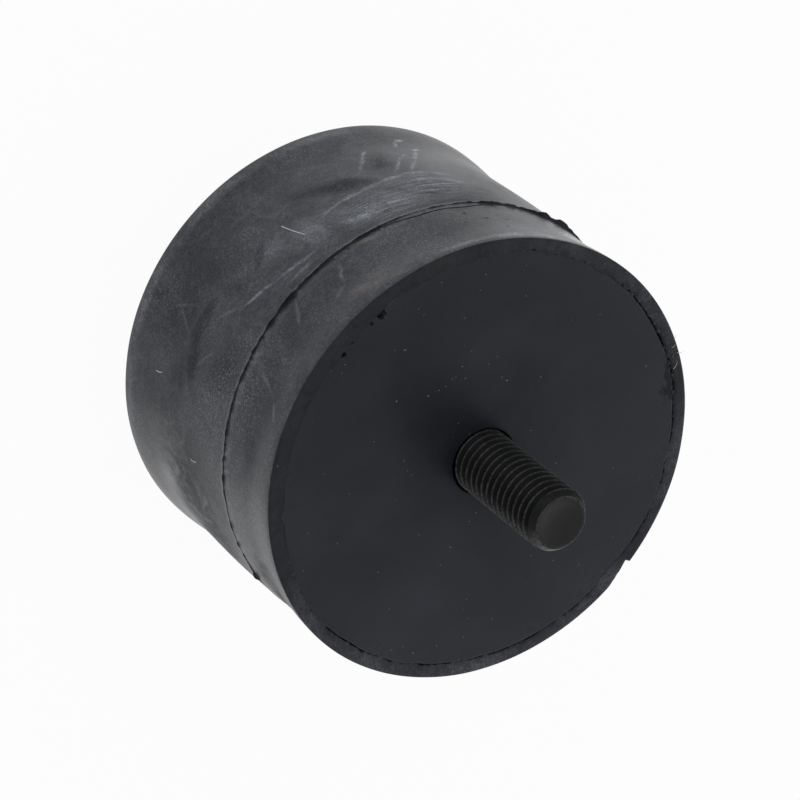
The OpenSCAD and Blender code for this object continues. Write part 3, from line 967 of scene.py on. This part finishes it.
strays = {
    "sides": 6, "cuts": 10, "lookAhead": 0.01,  # a strand's corners, cuts and the step that gives its direction
    "fibreThick": 0.1445 * mm, "fibreTaper": 0.2, "fibreLift": 0.0255 * mm,
    "hairThick": 0.085 * mm, "hairTaper": 0.7, "hairBend": 0.8,
    # lumps: how far they are ragged, its scale, the step between two lumps' noise, their shape
    "lumpRagged": 0.55, "lumpScale": 1.7, "lumpStep": 3.1,
    "lumpShape": Vector((0.6, 1, 0.35)),
    # lint on the side: angle and depth of both ends in degrees and mm, sideways bow in mm
    "sideFibres": ((76.2, 28.9, 74.3, 23.5, 0.1), (124.4, 36.4, 125.1, 38.2, 0.1), (139.4, 23.7, 139.9, 25.4, 0.1)),
    # hairs on the front rim: angle and radius of the root and of the tip, rise, all in degrees and mm
    "rimHairs": ((-23.6, 35, -22.6, 35.5, 0.2), (-27.6, 34.9, -27.9, 36, 0.3), (-31.5, 33.7, -29.6, 34.5, 0.3),
                 (-25.5, 34.4, -24.7, 34.9, 0.25)),
    # grains of dust on the front plate: place across it and size, in mm
    "grains": ((2.5, 15.6, 0.14), (3.6, 15.1, 0.1), (4.1, 14.7, 0.12), (5.2, 14.1, 0.16), (6.6, 14.1, 0.1),
               (7.2, 13.8, 0.15), (8.9, 14.1, 0.11), (11.5, 14.6, 0.14), (7.6, 11.7, 0.24), (7.9, 12.3, 0.15),
               (11.5, 6, 0.16), (15, -0.9, 0.14), (15.2, 0.2, 0.17), (15.1, 1.4, 0.13), (2.1, 8, 0.2),
               (-12.2, 8, 0.15), (-7, 11.5, 0.16), (-12.7, -5.7, 0.18), (5.5, 24.2, 0.18), (4.5, 25.6, 0.15),
               (11.1, 25.6, 0.14), (11.3, 27, 0.16), (10.9, 28.3, 0.13), (-3.8, 25.3, 0.15), (-22.5, 13, 0.16),
               (-28.5, -12.9, 0.2), (-18.8, 28.9, 0.16), (-3.5, 32.2, 0.15), (26.4, -13, 0.17), (19, 20.4, 0.13),
               (-25, 4, 0.13), (22.5, 6.5, 0.14), (-9, -21, 0.15), (8, -24, 0.13), (18, -19, 0.15),
               (-19.5, -17, 0.13), (-1, 19.5, 0.15), (14, 21.5, 0.13), (-15.5, 22.5, 0.14)),
    # crumbs of rubber: angle, radius, size
    "crumbs": ((331, 33.2, 0.38), (329.3, 33, 0.26), (333, 33.3, 0.3), (336, 33.1, 0.22), (327, 33.3, 0.34),
               (323.6, 32.9, 0.3), (322, 33.1, 0.36), (356, 33.1, 0.28), (358.5, 33.2, 0.22), (353, 33.2, 0.3),
               (286, 33.2, 0.25), (332.4, 34, 0.3), (334.2, 33.7, 0.24), (335.2, 34.3, 0.28), (337, 33.8, 0.3),
               (338.4, 34.2, 0.22), (330.4, 34.4, 0.24), (328.2, 33.9, 0.28), (339.6, 33.6, 0.26),
               (325.4, 34.1, 0.22), (341.5, 33.3, 0.3), (344.2, 33.2, 0.24), (347, 33.3, 0.28), (349.6, 33.2, 0.22),
               (315, 33.1, 0.2)),
}


def addStrand(joined, path, ends, thickness, taper):
    shape = bmesh.new()
    bmesh.ops.create_cone(shape, cap_ends=True, segments=strays["sides"], radius1=1, radius2=1, depth=1)
    lengthwise = [edge for edge in shape.edges if abs(edge.verts[0].co.z - edge.verts[1].co.z) > 0.5]
    bmesh.ops.subdivide_edges(shape, edges=lengthwise, cuts=strays["cuts"])
    for vert in shape.verts:
        share = vert.co.z + 0.5
        here, ahead = path(share, *ends), path(share + strays["lookAhead"], *ends)
        along = (ahead - here).normalized()
        out = Vector((here.x, here.y, 0)).normalized()
        across = along.cross(out).normalized()
        out = across.cross(along)
        half = thickness / 2 * (1 - taper * share)
        vert.co = here + (across * vert.co.x + out * vert.co.y) * half
    single = bpy.data.meshes.new("strand")
    shape.to_mesh(single)
    shape.free()
    joined.from_mesh(single)
    bpy.data.meshes.remove(single)


def sideFibre(share, startTurn, startDepth, endTurn, endDepth, bow):
    bowed = bow * mm / lipRadius * 4 * share * (1 - share)
    degrees = startTurn + (endTurn - startTurn) * share + math.degrees(bowed)
    depth = startDepth + (endDepth - startDepth) * share
    return onSide(degrees, depth * mm, strays["fibreLift"])


def rimHair(share, startTurn, startRadius, endTurn, endRadius, rise):
    angle = math.radians(startTurn + (endTurn - startTurn) * share)
    radius = (startRadius + (endRadius - startRadius) * share) * mm
    height = bodyHeight + rise * mm * math.sin(math.pi * strays["hairBend"] * share) - 2 * near
    return onCircle(radius, angle, height)


def makeLumps(spots):  # flattened lumps on the front face: angle, radius and size of each
    shape = bmesh.new()
    for number, (degrees, radius, size) in enumerate(spots):
        made = bmesh.ops.create_icosphere(shape, subdivisions=2, radius=1)["verts"]
        angle = math.radians(degrees)
        middle = onCircle(radius * mm, angle, bodyHeight)
        for vert in made:
            wave = noise.noise(vert.co * strays["lumpScale"] + Vector((number * strays["lumpStep"], 0, 0)))
            spread = Matrix.Rotation(angle, 3, "Z") @ (vert.co * strays["lumpShape"])
            vert.co = middle + spread * (1 + strays["lumpRagged"] * wave) * size * mm
    bmesh.ops.recalc_face_normals(shape, faces=shape.faces)
    return shape


# build

scene = bpy.context.scene
scene.view_settings.view_transform = "Standard"
addCamera(photoCamera)
addStudio(studio)
print("camera and studio ready")

rubber = mouldedRubber()
coat = bondingCoat()
steel = phosphatedSteel()
lint = looseBits("cottonLint", lintLook)
dust = looseBits("greyDust", dustLook)
print("materials ready")

bodyShape = spinProfile(rubberProfile(), rubberBody["roundSteps"])
shapeRubber(bodyShape)
addPiece(bodyShape, "rubberMoulding", rubber, "rubber_body")

frontDisc = spinProfile(plateProfile(), endPlate["roundSteps"], closed=True)
shapePlate(frontDisc)
rearDisc = frontDisc.copy()
sinkPits(frontDisc)
turnToRear(rearDisc)
addPiece(frontDisc, "frontDisc", coat, "front_plate")
addPiece(rearDisc, "rearDisc", coat, "rear_plate")

frontThread = makeStud()
rearThread = frontThread.copy()
turnToRear(rearThread)
addPiece(frontThread, "frontThread", steel, "front_stud", stud["sharpAngle"])
addPiece(rearThread, "rearThread", steel, "rear_stud", stud["sharpAngle"])

addPiece(makeLumps(strays["crumbs"]), "lipCrumbs", rubber)
grains = [(math.degrees(math.atan2(across, along)), math.hypot(along, across), size)
          for along, across, size in strays["grains"]]
addPiece(makeLumps(grains), "faceDust", dust)
fibreShape = bmesh.new()
for fibre in strays["sideFibres"]:
    addStrand(fibreShape, sideFibre, fibre, strays["fibreThick"], strays["fibreTaper"])
for hair in strays["rimHairs"]:
    addStrand(fibreShape, rimHair, hair, strays["hairThick"], strays["hairTaper"])
bmesh.ops.recalc_face_normals(fibreShape, faces=fibreShape.faces)
addPiece(fibreShape, "strayLint", lint)
